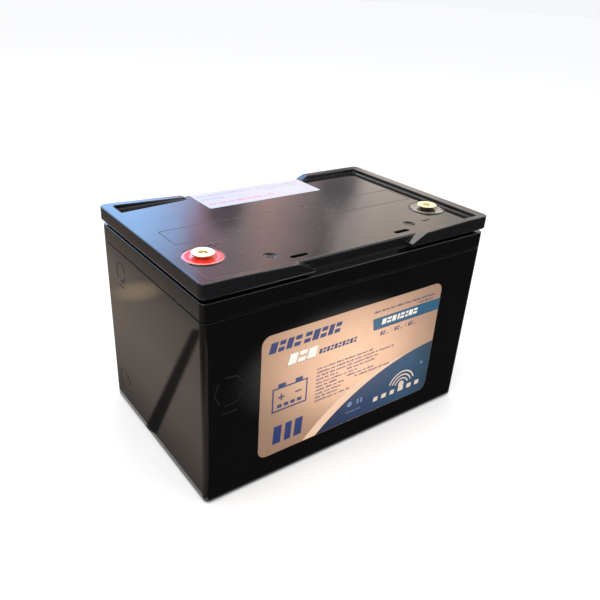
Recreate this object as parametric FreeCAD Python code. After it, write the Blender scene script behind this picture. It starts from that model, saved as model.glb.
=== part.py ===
import FreeCAD, Part
import os
from math import cos, pi, radians, sin
from FreeCAD import Vector

# Twelve-volt deep cycle battery with six cells, glass-mat separators and sealed relief valves.
# Frame: origin at the centre of the base, +X from the positive to the negative terminal,
# -Y towards the long side that carries the large label, +Z up. Millimetres.

# Overall size
LENGTH = 278.0              # over the top cover's lip, along X
WIDTH = 175.0               # over the lip, along Y
HEIGHT = 186.0              # base to the top of the raised rim

# Case
CASE_INSET = 1.3            # case side inside the lip's side, at the top of the container
CASE_DRAFT = 1.0            # each side leans in by this much from the shoulder to the base
CASE_CORNER_R = 5.0
CASE_FOOT_R = 3.5
CASE_WALL = 3.2
CASE_FLOOR = 4.0
CELL_COUNT = 6
PARTITION = 2.0
CELL_CORNER_R = 1.5
BASE_POCKET = 0.8           # shallow pockets moulded into the underside
BASE_RIB = 8.0

# Cell cover: a deck welded to the container, with a skirt outside the container's rim
DECK = 3.0
SKIRT_WALL = 2.0
SKIRT_HEIGHT = 13.3
SKIRT_EDGE_R = 0.8
SEAM_GAP = 1.4              # groove between the skirt and the container's shoulder
WELD_GAP = 0.15             # container rim to skirt, each side
NECK_R = 4.5
NECK_BORE_R = 3.0
NECK_HEIGHT = 4.5
POST_BOSS_WALL = 2.6
POST_BOSS_DROP = 5.0

# Top cover
LIP_HEIGHT = 12.0
LIP_CORNER_R = 5.5
LIP_TOP_R = 1.0
LIP_BOTTOM_R = 1.8
LIP_WALL = 2.7
GROOVE_INSET = 7.5          # wall in the groove under the lip, inside the lip's side
GROOVE_HEIGHT = 3.0
COVER_WALL = 3.0
TOP_FLOOR = 3.0
TRAY_DEPTH = 4.0            # floor below the raised rim
TRAY_COVE_R = 1.4
TRAY_EDGE = 0.6             # chamfer round the tray's mouth
RIM_WIDTH_END = 9.2
RIM_WIDTH_FRONT = 5.2
RIM_WIDTH_BACK = 7.5
RIM_DIP = 1.9               # front rim falls this much from its ends to the handle bay
RIM_DIP_X = 115.0           # where it starts to fall
BACK_DIP = 2.6              # the back rim falls too, from its left corner to the gap
BACK_DIP_X = 128.0
BAY_HALF_TOP = 63.4         # front handle bay, half its width at the rim
BAY_HALF_FOOT = 48.0        # and below its sloping ends
BAY_SLOPE_HEIGHT = 7.3
GAP_HALF_FOOT = 62.0        # half the gap in the back rim, at the tray floor
BAY_EDGE_R = 1.5
RIB = 1.8

# Handle slots and moulding recesses, front edge only
SLOT_X = 51.0
SLOT_INSET = 9.0            # slot centre behind the bay's wall
SLOT_LENGTH = 16.0
SLOT_R = 2.4
RECESS_X = 69.5
RECESS_INSET = 19.0
RECESS_R = 5.0
RECESS_DEPTH = 1.6
PLUG_GAP = 0.1
PLUG_THICKNESS = 1.1
PLUG_DOME_R = 14.0

# Valves and the plates over them
VALVE_SHIFT = 1.0           # vents sit this much nearer the middle than their cells
CAP_WALL = 1.45
CAP_TOP = 1.5
CAP_SKIRT = 3.7
CAP_GAP = 0.05              # cap on its neck, each side
PLATE_WIDTH = 30.0          # vent plate along Y
PLATE_MARGIN = 7.9          # plate end beyond the outer valve's centre
PLATE_THICKNESS = 1.8
PLATE_CORNER_R = 2.0
PLATE_GAP = 0.4
PLATE_SETBACK = 12.8        # plate behind the terminal well's edge
WINDOW_GAP = 0.5            # floor window round each cap
PEG_R = 2.0
VALVE_TRAVEL = 0.8
PEG_GAP = 0.4               # left between cap and peg at full travel

# Terminals
TERMINAL_INSET = 39.7       # terminal centre behind the front wall
WELL_R = 15.2
WELL_WALL = 2.5
COLLAR_WALL = 0.8           # low collar round each well, on the tray floor
COLLAR_HEIGHT = 0.7
COLLAR_EDGE = 0.3
FLANGE_R = 8.5
FLANGE_THICKNESS = 1.0      # at the rim of the flange
FLANGE_CONE = 2.2           # tapered underside, down to the neck
NECK_TERMINAL_R = 5.6
FOOT_R = 12.0
FOOT_THICKNESS = 3.0
FOOT_SIDES = 8
SPIGOT_R = 5.0
SPIGOT_LENGTH = 8.0
THREAD_R = 3.4              # minor radius of the M8 thread
THREAD_DEPTH = 13.0
THREAD_CHAMFER = 0.5
FLANGE_CHAMFER = 0.3
CAST_GAP = 0.02
RESIN_EDGE = 0.45           # resin surface above the tray floor, at the collar
RESIN_CROWN = 0.75
RESIN_CROWN_INSET = 1.6
RESIN_DISH = 0.55

# Lead work
POST_R = 8.0
POST_GAP = 0.15
SEAL_MINOR_R = 1.3
SEAL_GAP = 0.1
STRAP_HEIGHT = 6.0
STRAP_WIDTH = 14.0
STRAP_OVERHANG = 1.0
STRAP_HEADROOM = 16.0       # strap top below the deck
RISER_THICKNESS = 4.0
RISER_HEIGHT = 12.0
NUGGET_R = 4.5
NUGGET_RISE = 6.5           # weld centre above the strap

# Plate groups
POSITIVE_PLATE = 3.1
NEGATIVE_PLATE = 1.9
SEPARATOR = 0.82
STACK_GAP = 0.5             # plate group to cell wall
PLATE_SIDE_GAP = 2.0
PLATE_FOOT_GAP = 4.0
LUG_WIDTH = 10.0
LUG_HEIGHT = 10.0
SEPARATOR_RISE = 3.0        # mat taller than the plates
SEPARATOR_SIDE_GAP = 0.6

# Labels and marks
LABEL_THICKNESS = 0.2
FRONT_LABEL_X = (-91.0, 94.0)
FRONT_LABEL_FOOT = 23.0
FRONT_LABEL_HEIGHT = 110.0
FRONT_LABEL_R = 8.0
TOP_LABEL_X = (-57.5, 60.5)
TOP_LABEL_WIDTH = 39.0
TOP_LABEL_MARGIN = 0.6      # to the rounded edge at the back
TOP_LABEL_R = 2.0
MARK_LENGTH = 8.0
MARK_WIDTH = 1.6
MARK_HEIGHT = 0.4
PLUS_OFFSET = (17.0, 21.5)   # from the positive terminal's centre
MINUS_OFFSET = (-23.0, -21.0)  # from the negative terminal's centre

# Levels and places that follow from the sizes above
RIM_TOP = HEIGHT
TRAY = RIM_TOP - TRAY_DEPTH
TRAY_UNDER = TRAY - TOP_FLOOR
LIP_FOOT = RIM_TOP - LIP_HEIGHT
DECK_TOP = LIP_FOOT - GROOVE_HEIGHT
DECK_UNDER = DECK_TOP - DECK
SKIRT_FOOT = DECK_TOP - SKIRT_HEIGHT
SHOULDER = SKIRT_FOOT - SEAM_GAP

CASE_X = LENGTH / 2 - CASE_INSET
CASE_Y = WIDTH / 2 - CASE_INSET
GROOVE_X = LENGTH / 2 - GROOVE_INSET
GROOVE_Y = WIDTH / 2 - GROOVE_INSET
TRAY_X = LENGTH / 2 - RIM_WIDTH_END
TRAY_FRONT = WIDTH / 2 - RIM_WIDTH_FRONT
TRAY_BACK = WIDTH / 2 - RIM_WIDTH_BACK
BAY_TOP = RIM_TOP - RIM_DIP
CAVITY_X = CASE_X - CASE_DRAFT - CASE_WALL
CAVITY_Y = CASE_Y - CASE_DRAFT - CASE_WALL
CELL_X = (2 * CAVITY_X - (CELL_COUNT - 1) * PARTITION) / CELL_COUNT
CELL_PITCH = CELL_X + PARTITION

TERMINAL_X = min((CELL_COUNT - 1) / 2 * CELL_PITCH, GROOVE_X - COVER_WALL - WELL_R - COLLAR_WALL)
TERMINAL_Y = TERMINAL_INSET - GROOVE_Y
PLATE_FRONT = TERMINAL_Y + WELL_R + PLATE_SETBACK
VALVE_Y = PLATE_FRONT + PLATE_WIDTH / 2
PLATE_UNDER = TRAY - PLATE_THICKNESS
CAP_R = NECK_R + CAP_GAP + CAP_WALL
CAP_SEAT = DECK_TOP + NECK_HEIGHT
WINDOW_R = CAP_R + WINDOW_GAP

STRAP_TOP = DECK_UNDER - STRAP_HEADROOM
STRAP_FOOT = STRAP_TOP - STRAP_HEIGHT
PLATE_TOP = STRAP_FOOT - LUG_HEIGHT
PLATE_FOOT = CASE_FLOOR + PLATE_FOOT_GAP
PLATE_HALF_Y = CAVITY_Y - PLATE_SIDE_GAP
NUGGET_Z = STRAP_TOP + NUGGET_RISE


def save(node, shape):
    shape.exportStep("parts/%s.step" % node)


def box(x, y, z):
    """Box from three (low, high) pairs."""
    size = [pair[1] - pair[0] for pair in (x, y, z)]
    return Part.makeBox(*size, Vector(x[0], y[0], z[0]))


def cylinder(radius, x, y, z):
    """Upright cylinder between the two levels in z."""
    return Part.makeCylinder(radius, z[1] - z[0], Vector(x, y, z[0]))


def rounded_wire(half_x, half_y, radius, level):
    """Rectangle with round corners, centred on the Z axis."""
    edges = []
    last = None
    first = None
    for quarter, (sx, sy) in enumerate(((1, 1), (-1, 1), (-1, -1), (1, -1))):
        centre = Vector(sx * (half_x - radius), sy * (half_y - radius), level)
        angles = [radians(90 * quarter + turn) for turn in (0, 45, 90)]
        start, middle, end = [centre + Vector(cos(a), sin(a), 0) * radius for a in angles]
        if last is None:
            first = start
        else:
            edges.append(Part.LineSegment(last, start).toShape())
        edges.append(Part.Arc(start, middle, end).toShape())
        last = end
    edges.append(Part.LineSegment(last, first).toShape())
    return Part.Wire(edges)


def block(half_x, half_y, radius, z, centre=(0, 0)):
    """Upright prism with round corners."""
    face = Part.Face(rounded_wire(half_x, half_y, radius, z[0]))
    solid = face.extrude(Vector(0, 0, z[1] - z[0]))
    solid.translate(Vector(centre[0], centre[1], 0))
    return solid


def edges_at(shape, level):
    """Edges that lie wholly at one level."""
    found = []
    for edge in shape.Edges:
        bounds = edge.BoundBox
        if abs(bounds.ZMin - level) < 1e-4 and abs(bounds.ZMax - level) < 1e-4:
            found.append(edge)
    return found


def turned(profile, x, y):
    """Solid of revolution about an upright axis, from (radius, level) points."""
    points = [Vector(r, 0, z) for r, z in profile]
    face = Part.Face(Part.makePolygon(points + points[:1]))
    solid = face.revolve(Vector(0, 0, 0), Vector(0, 0, 1), 360)
    solid.translate(Vector(x, y, 0))
    return solid


def cell_x(cell):
    """Middle of a cell, counted from 1 at the positive end."""
    return (cell - (CELL_COUNT + 1) / 2) * CELL_PITCH


def valve_x(cell):
    x = cell_x(cell)
    return x - VALVE_SHIFT if x > 0 else x + VALVE_SHIFT


def partition_x(index):
    """Middle of a partition, counted from 1."""
    return (index - CELL_COUNT / 2) * CELL_PITCH


def weld_y(index):
    """Welds change sides from one partition to the next."""
    return -TERMINAL_Y if index % 2 else TERMINAL_Y


CELLS = range(1, CELL_COUNT + 1)
PARTITIONS = range(1, CELL_COUNT)
TERMINALS = {"positive": -TERMINAL_X, "negative": TERMINAL_X}
SIDES = ("front", "back")


# Case and covers

def case_outside(extra=0.0):
    """Drafted outside of the container, grown by extra on every side."""
    foot = rounded_wire(CASE_X - CASE_DRAFT + extra, CASE_Y - CASE_DRAFT + extra, CASE_CORNER_R, 0)
    head = rounded_wire(CASE_X + extra, CASE_Y + extra, CASE_CORNER_R, SHOULDER)
    return Part.makeLoft([foot, head], True, True)


def container():
    outside = case_outside()
    outside = outside.makeFillet(CASE_FOOT_R, edges_at(outside, 0))
    rim_inset = SKIRT_WALL + WELD_GAP
    rim = block(CASE_X - rim_inset, CASE_Y - rim_inset, CASE_CORNER_R - SKIRT_WALL,
                (SHOULDER - CASE_FLOOR, DECK_UNDER))
    solid = outside.fuse(rim)
    cuts = [block(CELL_X / 2, CAVITY_Y, CELL_CORNER_R, (CASE_FLOOR, DECK_TOP), (cell_x(cell), 0))
            for cell in CELLS]
    for cell in CELLS:
        pocket_x = (CELL_PITCH - BASE_RIB) / 2
        cuts.append(block(pocket_x, CAVITY_Y - BASE_RIB, CELL_CORNER_R, (-1, BASE_POCKET),
                          (cell_x(cell), 0)))
    for index in PARTITIONS:
        start = Vector(partition_x(index) - PARTITION, weld_y(index), NUGGET_Z)
        cuts.append(Part.makeCylinder(NUGGET_R, 2 * PARTITION, start, Vector(1, 0, 0)))
    return solid.cut(cuts)


def cell_cover():
    solid = block(CASE_X, CASE_Y, CASE_CORNER_R, (SKIRT_FOOT, DECK_TOP))
    solid = solid.makeFillet(SKIRT_EDGE_R, edges_at(solid, DECK_TOP))
    solid = solid.cut(block(CASE_X - SKIRT_WALL, CASE_Y - SKIRT_WALL, CASE_CORNER_R - SKIRT_WALL,
                            (SKIRT_FOOT - 1, DECK_UNDER)))
    gland_r = POST_R + POST_GAP + 2 * SEAL_MINOR_R + SEAL_GAP
    adds, cuts = [], []
    for x in TERMINALS.values():
        adds.append(cylinder(gland_r + POST_BOSS_WALL, x, TERMINAL_Y,
                             (DECK_UNDER - POST_BOSS_DROP, DECK_TOP)))
        cuts.append(cylinder(POST_R + POST_GAP, x, TERMINAL_Y,
                             (DECK_UNDER - POST_BOSS_DROP - 1, DECK_TOP + 1)))
        cuts.append(cylinder(gland_r, x, TERMINAL_Y, (DECK_TOP - 2 * SEAL_MINOR_R, DECK_TOP + 1)))
    for cell in CELLS:
        adds.append(cylinder(NECK_R, valve_x(cell), VALVE_Y, (DECK_UNDER, CAP_SEAT)))
        cuts.append(cylinder(NECK_BORE_R, valve_x(cell), VALVE_Y, (DECK_UNDER - 1, CAP_SEAT + 1)))
    return solid.fuse(adds).cut(cuts)


def notch_profile(foot_x, foot_z, inset):
    """Notch with sloping ends in elevation, as X and Z points. An inset grows it into the cover."""
    slope = BAY_SLOPE_HEIGHT / (BAY_HALF_TOP - BAY_HALF_FOOT)
    high = RIM_TOP + 5
    low = LIP_FOOT - 1
    foot_z = foot_z + slope * inset - inset * (1 + slope * slope) ** 0.5
    foot_x = foot_x + inset
    right = [(foot_x, low), (foot_x, max(foot_z, low + 0.1)), (foot_x + (high - foot_z) / slope, high)]
    return right + [(-x, z) for x, z in reversed(right)]


def notch(side, inner, inset=0.0, low=None):
    """Handle bay at the front or gap in the rim at the back, from inner to beyond the lip."""
    if side == "front":
        profile = notch_profile(BAY_HALF_FOOT, BAY_TOP - BAY_SLOPE_HEIGHT, inset)
        floor = LIP_FOOT - 1
    else:
        profile = notch_profile(GAP_HALF_FOOT, TRAY, inset)
        floor = TRAY - inset
    points = [Vector(x, inner, z) for x, z in profile]
    prism = Part.Face(Part.makePolygon(points + points[:1])).extrude(Vector(0, WIDTH, 0))
    level = floor if low is None else low
    prism = prism.common(box((-LENGTH, LENGTH), (0, 2 * WIDTH), (level, RIM_TOP + 5)))
    return mirrored(prism) if side == "front" else prism


def mirrored(shape):
    return shape.mirror(Vector(0, 0, 0), Vector(0, 1, 0))


def lip_ring():
    """Lip round the cover, hollow underneath, with walls of even thickness round the notches."""
    lip = block(LENGTH / 2, WIDTH / 2, LIP_CORNER_R, (LIP_FOOT, RIM_TOP))
    lip = lip.makeFillet(LIP_TOP_R, edges_at(lip, RIM_TOP))
    lip = lip.makeFillet(LIP_BOTTOM_R, edges_at(lip, LIP_FOOT))
    roof = RIM_TOP - LIP_WALL
    channel = block(LENGTH / 2 - LIP_WALL, WIDTH / 2 - LIP_WALL, LIP_CORNER_R - LIP_WALL,
                    (LIP_FOOT - 1, roof))
    for x, y in (((-LENGTH, LENGTH), (-WIDTH, -GROOVE_Y)), ((-LENGTH, 0), (GROOVE_Y, WIDTH))):
        channel = channel.cut(box(x, y, (TRAY - LIP_WALL, RIM_TOP)))
    channel = channel.cut(block(GROOVE_X, GROOVE_Y, LIP_CORNER_R - LIP_WALL, (LIP_FOOT - 1, roof)))
    channel = channel.cut([notch(side, GROOVE_Y, LIP_WALL) for side in SIDES])
    return lip.cut(channel)


def vent_plate_ends():
    """(low, high) X of the two vent plates."""
    inner, outer = valve_x(CELL_COUNT // 2 + 1), valve_x(CELL_COUNT)
    right = (inner - PLATE_MARGIN, outer + PLATE_MARGIN)
    return {"left": (-right[1], -right[0]), "right": right}


def vent_plate_block(ends, gap, z):
    half_x = (ends[1] - ends[0]) / 2 - gap
    return block(half_x, PLATE_WIDTH / 2 - gap, PLATE_CORNER_R, z, (sum(ends) / 2, VALVE_Y))


def cover_ribs():
    """Ribs from the deck to the tray floor, above the container's partitions."""
    ribs = []
    plate_back = PLATE_FRONT + PLATE_WIDTH
    front = SLOT_INSET + SLOT_R + 2 * RIB - GROOVE_Y
    spans = ((front, PLATE_FRONT - RIB), (plate_back + RIB, GROOVE_Y - COVER_WALL))
    for index in PARTITIONS:
        x = partition_x(index)
        for span in spans:
            ribs.append(box((x - RIB / 2, x + RIB / 2), span, (DECK_TOP, TRAY_UNDER)))
    return ribs


def polarity_marks():
    """Raised plus and minus beside the terminals."""
    half_long, half_wide = MARK_LENGTH / 2, MARK_WIDTH / 2
    z = (TRAY - MARK_HEIGHT, TRAY + MARK_HEIGHT)
    x, y = TERMINALS["positive"] + PLUS_OFFSET[0], TERMINAL_Y + PLUS_OFFSET[1] - half_long
    bars = [box((x - half_long, x + half_long), (y - half_wide, y + half_wide), z),
            box((x - half_wide, x + half_wide), (y - half_long, y + half_long), z)]
    x, y = TERMINALS["negative"] + MINUS_OFFSET[0], TERMINAL_Y + MINUS_OFFSET[1]
    bars.append(box((x - half_long, x + half_long), (y - half_wide, y + half_wide), z))
    return bars


def handle_slot(x):
    """Slot with round ends through the tray floor."""
    y = SLOT_INSET - GROOVE_Y
    z = (TRAY_UNDER - 1, TRAY + 1)
    reach = SLOT_LENGTH / 2 - SLOT_R
    ends = [cylinder(SLOT_R, x + side * reach, y, z) for side in (-1, 1)]
    middle = box((x - reach, x + reach), (y - SLOT_R, y + SLOT_R), z)
    return middle.fuse(ends)


def floor_edge(side):
    """What the rounded edge of the floor leaves off in the bay or the gap."""
    edge_y = GROOVE_Y if side == "front" else WIDTH / 2
    y, z = edge_y - BAY_EDGE_R, TRAY - BAY_EDGE_R
    start = Vector(-LENGTH, -y if side == "front" else y, z)
    round_edge = Part.makeCylinder(BAY_EDGE_R, 2 * LENGTH, start, Vector(1, 0, 0))
    return notch(side, y, low=z).cut(round_edge)


def rim_dip(tray_y, start, foot, drop, reach):
    """What a rim's falling top leaves off, with its round and chamfered edges: front right."""
    y, z = -WIDTH / 2, RIM_TOP
    bend = LIP_TOP_R * (1 - cos(pi / 4))
    outline = [(y - 1, z + 5), (y - 1, z - LIP_TOP_R), (y, z - LIP_TOP_R)]
    inside = [(y + LIP_TOP_R, z), (-tray_y - TRAY_EDGE, z), (-tray_y, z - TRAY_EDGE),
              (1 - tray_y, z - TRAY_EDGE), (1 - tray_y, z + 5), outline[0]]
    outline, inside = [[Vector(start, *point) for point in points] for points in (outline, inside)]
    round_edge = Part.Arc(outline[-1], Vector(start, y + bend, z - bend), inside[0])
    wire = Part.Wire([Part.makePolygon(outline), round_edge.toShape(), Part.makePolygon(inside)])
    run = start - reach
    return Part.Face(wire).extrude(Vector(-run, 0, -drop * run / (start - foot)))


def rim_dips():
    """Both ends of the front rim, falling to the bay, and the back rim left of its gap."""
    origin, along, across = Vector(0, 0, 0), Vector(1, 0, 0), Vector(0, 1, 0)
    front = rim_dip(TRAY_FRONT, RIM_DIP_X, BAY_HALF_TOP, RIM_DIP, BAY_HALF_FOOT)
    back = rim_dip(TRAY_BACK, BACK_DIP_X, GAP_HALF_FOOT, BACK_DIP, BAY_HALF_FOOT)
    return [front, front.mirror(origin, along), back.mirror(origin, along).mirror(origin, across)]


def tray_cuts():
    """Tray above the floor, with a cove along the rim that stops at the bay and the gap."""
    half_y = (TRAY_FRONT + TRAY_BACK) / 2
    shift = Vector(0, (TRAY_BACK - TRAY_FRONT) / 2, 0)
    tray = block(TRAY_X, half_y, LIP_CORNER_R - LIP_WALL, (TRAY, RIM_TOP + 5))
    tray = tray.makeFillet(TRAY_COVE_R, edges_at(tray, TRAY))
    flare = TRAY_EDGE + 1
    mouth = Part.makeLoft([
        rounded_wire(TRAY_X, half_y, LIP_CORNER_R - LIP_WALL, RIM_TOP - TRAY_EDGE),
        rounded_wire(TRAY_X + flare, half_y + flare, LIP_CORNER_R - LIP_WALL + flare, RIM_TOP + 1),
    ], True, True)
    tray.translate(shift)
    mouth.translate(shift)
    return [tray, mouth, notch("front", TRAY_FRONT - TRAY_COVE_R, low=TRAY),
            notch("back", TRAY_BACK - TRAY_COVE_R, low=TRAY)]


def top_cover():
    core = block(GROOVE_X, GROOVE_Y, LIP_CORNER_R - LIP_WALL, (DECK_TOP, TRAY))
    solid = lip_ring().fuse(core)
    edges = [floor_edge(side) for side in SIDES]
    solid = solid.cut([notch("front", GROOVE_Y)] + rim_dips() + tray_cuts() + edges)
    solid = solid.removeSplitter()
    under = block(GROOVE_X - COVER_WALL, GROOVE_Y - COVER_WALL, 1.0, (DECK_TOP - 1, TRAY_UNDER))
    solid = solid.cut(under)
    collar_r, collar_top = WELL_R + COLLAR_WALL, TRAY + COLLAR_HEIGHT
    wells = [turned([(0, DECK_TOP), (WELL_R + WELL_WALL, DECK_TOP), (WELL_R + WELL_WALL, TRAY),
                     (collar_r, TRAY), (collar_r, collar_top - COLLAR_EDGE),
                     (collar_r - COLLAR_EDGE, collar_top), (0, collar_top)], x, TERMINAL_Y)
             for x in TERMINALS.values()]
    solid = solid.fuse(wells + cover_ribs() + polarity_marks())
    cuts = [handle_slot(SLOT_X), handle_slot(-SLOT_X)]
    for x in TERMINALS.values():
        cuts.append(cylinder(WELL_R, x, TERMINAL_Y, (DECK_TOP - 1, collar_top + 1)))
    for x in (-RECESS_X, RECESS_X):
        cuts.append(cylinder(RECESS_R, x, RECESS_INSET - GROOVE_Y, (TRAY - RECESS_DEPTH, TRAY + 1)))
    for ends in vent_plate_ends().values():
        cuts.append(vent_plate_block(ends, 0, (PLATE_UNDER, TRAY + 1)))
    for cell in CELLS:
        cuts.append(cylinder(WINDOW_R, valve_x(cell), VALVE_Y, (TRAY_UNDER - 1, TRAY)))
    return solid.cut(cuts).removeSplitter()


def vent_plate(ends):
    plate = vent_plate_block(ends, PLATE_GAP, (PLATE_UNDER, TRAY))
    peg_foot = CAP_SEAT + CAP_TOP + VALVE_TRAVEL + PEG_GAP
    pegs = [cylinder(PEG_R, valve_x(cell), VALVE_Y, (peg_foot, TRAY - PLATE_THICKNESS / 2))
            for cell in CELLS if ends[0] < valve_x(cell) < ends[1]]
    return plate.fuse(pegs)


def valve_cap(cell):
    bore = NECK_R + CAP_GAP
    profile = [(0, CAP_SEAT), (bore, CAP_SEAT), (bore, CAP_SEAT - CAP_SKIRT),
               (CAP_R, CAP_SEAT - CAP_SKIRT), (CAP_R, CAP_SEAT + CAP_TOP), (0, CAP_SEAT + CAP_TOP)]
    return turned(profile, valve_x(cell), VALVE_Y)


def recess_plugs():
    """Two discs with dished faces, one in each moulding recess."""
    plugs = []
    foot = TRAY - RECESS_DEPTH
    for x in (-RECESS_X, RECESS_X):
        y = RECESS_INSET - GROOVE_Y
        disc = cylinder(RECESS_R - PLUG_GAP, x, y, (foot, foot + PLUG_THICKNESS))
        dish = Part.makeSphere(PLUG_DOME_R, Vector(x, y, foot + PLUG_THICKNESS / 2 + PLUG_DOME_R))
        plugs.append(disc.cut(dish))
    return Part.makeCompound(plugs)


# Terminals

def terminal(x):
    under = RIM_TOP - FLANGE_THICKNESS
    foot_top = DECK_TOP + FOOT_THICKNESS
    profile = [(0, DECK_TOP - SPIGOT_LENGTH), (SPIGOT_R, DECK_TOP - SPIGOT_LENGTH),
               (SPIGOT_R, DECK_TOP), (NECK_TERMINAL_R, DECK_TOP),
               (NECK_TERMINAL_R, under - FLANGE_CONE), (FLANGE_R, under),
               (FLANGE_R, RIM_TOP - FLANGE_CHAMFER), (FLANGE_R - FLANGE_CHAMFER, RIM_TOP),
               (THREAD_R + THREAD_CHAMFER, RIM_TOP), (THREAD_R, RIM_TOP - THREAD_CHAMFER),
               (THREAD_R, RIM_TOP - THREAD_DEPTH), (0, RIM_TOP - THREAD_DEPTH)]
    corners = [Vector(x + FOOT_R * cos(2 * pi * side / FOOT_SIDES),
                      TERMINAL_Y + FOOT_R * sin(2 * pi * side / FOOT_SIDES), DECK_TOP)
               for side in range(FOOT_SIDES)]
    foot = Part.Face(Part.makePolygon(corners + corners[:1])).extrude(Vector(0, 0, FOOT_THICKNESS))
    foot = foot.cut(cylinder(SPIGOT_R, x, TERMINAL_Y, (DECK_TOP - 1, foot_top + 1)))
    return turned(profile, x, TERMINAL_Y).fuse(foot)


def terminal_post(x):
    post = cylinder(POST_R, x, TERMINAL_Y, (STRAP_TOP, DECK_TOP))
    return post.cut(cylinder(SPIGOT_R + CAST_GAP, x, TERMINAL_Y,
                             (DECK_TOP - SPIGOT_LENGTH - CAST_GAP, DECK_TOP + 1)))


def post_seal(x):
    return Part.makeTorus(POST_R + POST_GAP + SEAL_MINOR_R, SEAL_MINOR_R,
                          Vector(x, TERMINAL_Y, DECK_TOP - SEAL_MINOR_R))


def seal_resin(x):
    """Resin that fills the well to the collar, crowned at its edge."""
    crown = TRAY + RESIN_CROWN
    profile = [(0, DECK_TOP), (WELL_R - CAST_GAP, DECK_TOP), (WELL_R - CAST_GAP, TRAY + RESIN_EDGE),
               (WELL_R - RESIN_CROWN_INSET, crown), (FLANGE_R, TRAY + RESIN_DISH),
               (NECK_TERMINAL_R, crown), (0, crown)]
    neck = cylinder(NECK_TERMINAL_R + CAST_GAP, x, TERMINAL_Y, (DECK_TOP - 1, RIM_TOP))
    across = FOOT_R + CAST_GAP
    foot = cylinder(across, x, TERMINAL_Y, (DECK_TOP - 1, DECK_TOP + FOOT_THICKNESS + CAST_GAP))
    return turned(profile, x, TERMINAL_Y).cut([neck, foot])


# Inside the cells

def plate_count():
    """Positive plates that the cell's width has room for, with one more negative plate."""
    room = CELL_X - 2 * STACK_GAP - NEGATIVE_PLATE
    return int(room / (POSITIVE_PLATE + NEGATIVE_PLATE + 2 * SEPARATOR))


def stack(cell):
    """(kind, low X, high X) of each sheet across a cell."""
    order = ["negative"] + ["separator", "positive", "separator", "negative"] * plate_count()
    thickness = {"positive": POSITIVE_PLATE, "negative": NEGATIVE_PLATE, "separator": SEPARATOR}
    x = cell_x(cell) - sum(thickness[kind] for kind in order) / 2
    sheets = []
    for kind in order:
        sheets.append((kind, x, x + thickness[kind]))
        x += thickness[kind]
    return sheets


def strap_y(cell, pole):
    """Side of the cell that a pole's strap is on. The sides change from cell to cell."""
    front_pole = "positive" if cell % 2 else "negative"
    return TERMINAL_Y if pole == front_pole else -TERMINAL_Y


def plates(cell, pole):
    """Plates of one pole with their lugs, as separate solids."""
    y = strap_y(cell, pole)
    solids = []
    for kind, low, high in stack(cell):
        if kind != pole:
            continue
        plate = box((low, high), (-PLATE_HALF_Y, PLATE_HALF_Y), (PLATE_FOOT, PLATE_TOP))
        lug = box((low, high), (y - LUG_WIDTH / 2, y + LUG_WIDTH / 2), (PLATE_TOP, STRAP_FOOT))
        solids.append(plate.fuse(lug).removeSplitter())
    return Part.makeCompound(solids)


def separators(cell):
    half_y = CAVITY_Y - SEPARATOR_SIDE_GAP
    sheets = [box((low, high), (-half_y, half_y), (CASE_FLOOR, PLATE_TOP + SEPARATOR_RISE))
              for kind, low, high in stack(cell) if kind == "separator"]
    return Part.makeCompound(sheets)


def strap(cell, pole):
    """Bar that joins the lugs, with a riser at the partition that it is welded through."""
    y = strap_y(cell, pole)
    across = (y - STRAP_WIDTH / 2, y + STRAP_WIDTH / 2)
    side = 1 if pole == "negative" else -1
    wall = cell_x(cell) + side * CELL_X / 2
    clear_wall = cell_x(cell) - side * (CELL_X / 2 - CAST_GAP)
    lugs = [x for kind, low, high in stack(cell) if kind == pole for x in (low, high)]
    far = min(lugs) - STRAP_OVERHANG if side > 0 else max(lugs) + STRAP_OVERHANG
    far = max(far, clear_wall) if side > 0 else min(far, clear_wall)
    bar = box(sorted((far, wall - side * CAST_GAP)), across, (STRAP_FOOT, STRAP_TOP))
    if cell == (CELL_COUNT if side > 0 else 1):
        return bar
    riser = box(sorted((wall - side * RISER_THICKNESS, wall)), across,
                (STRAP_FOOT, STRAP_TOP + RISER_HEIGHT))
    return bar.fuse(riser).removeSplitter()


def intercell_welds():
    """Lead nuggets that join neighbouring straps through the partitions."""
    nuggets = []
    for index in PARTITIONS:
        start = Vector(partition_x(index) - PARTITION / 2, weld_y(index), NUGGET_Z)
        nuggets.append(Part.makeCylinder(NUGGET_R - CAST_GAP, PARTITION, start, Vector(1, 0, 0)))
    return Part.makeCompound(nuggets)


# Labels

def front_label():
    """Thin label that follows the drafted front face."""
    half = (FRONT_LABEL_X[1] - FRONT_LABEL_X[0]) / 2
    outline = rounded_wire(half, FRONT_LABEL_HEIGHT / 2, FRONT_LABEL_R, 0)
    sheet = Part.Face(outline).extrude(Vector(0, 0, WIDTH))
    sheet.rotate(Vector(0, 0, 0), Vector(1, 0, 0), 90)
    sheet.translate(Vector(sum(FRONT_LABEL_X) / 2, 0, FRONT_LABEL_FOOT + FRONT_LABEL_HEIGHT / 2))
    return sheet.common(case_outside(LABEL_THICKNESS)).cut(case_outside())


def top_label():
    back = WIDTH / 2 - BAY_EDGE_R - TOP_LABEL_MARGIN
    centre = (sum(TOP_LABEL_X) / 2, back - TOP_LABEL_WIDTH / 2)
    return block((TOP_LABEL_X[1] - TOP_LABEL_X[0]) / 2, TOP_LABEL_WIDTH / 2, TOP_LABEL_R,
                 (TRAY, TRAY + LABEL_THICKNESS), centre)


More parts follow.
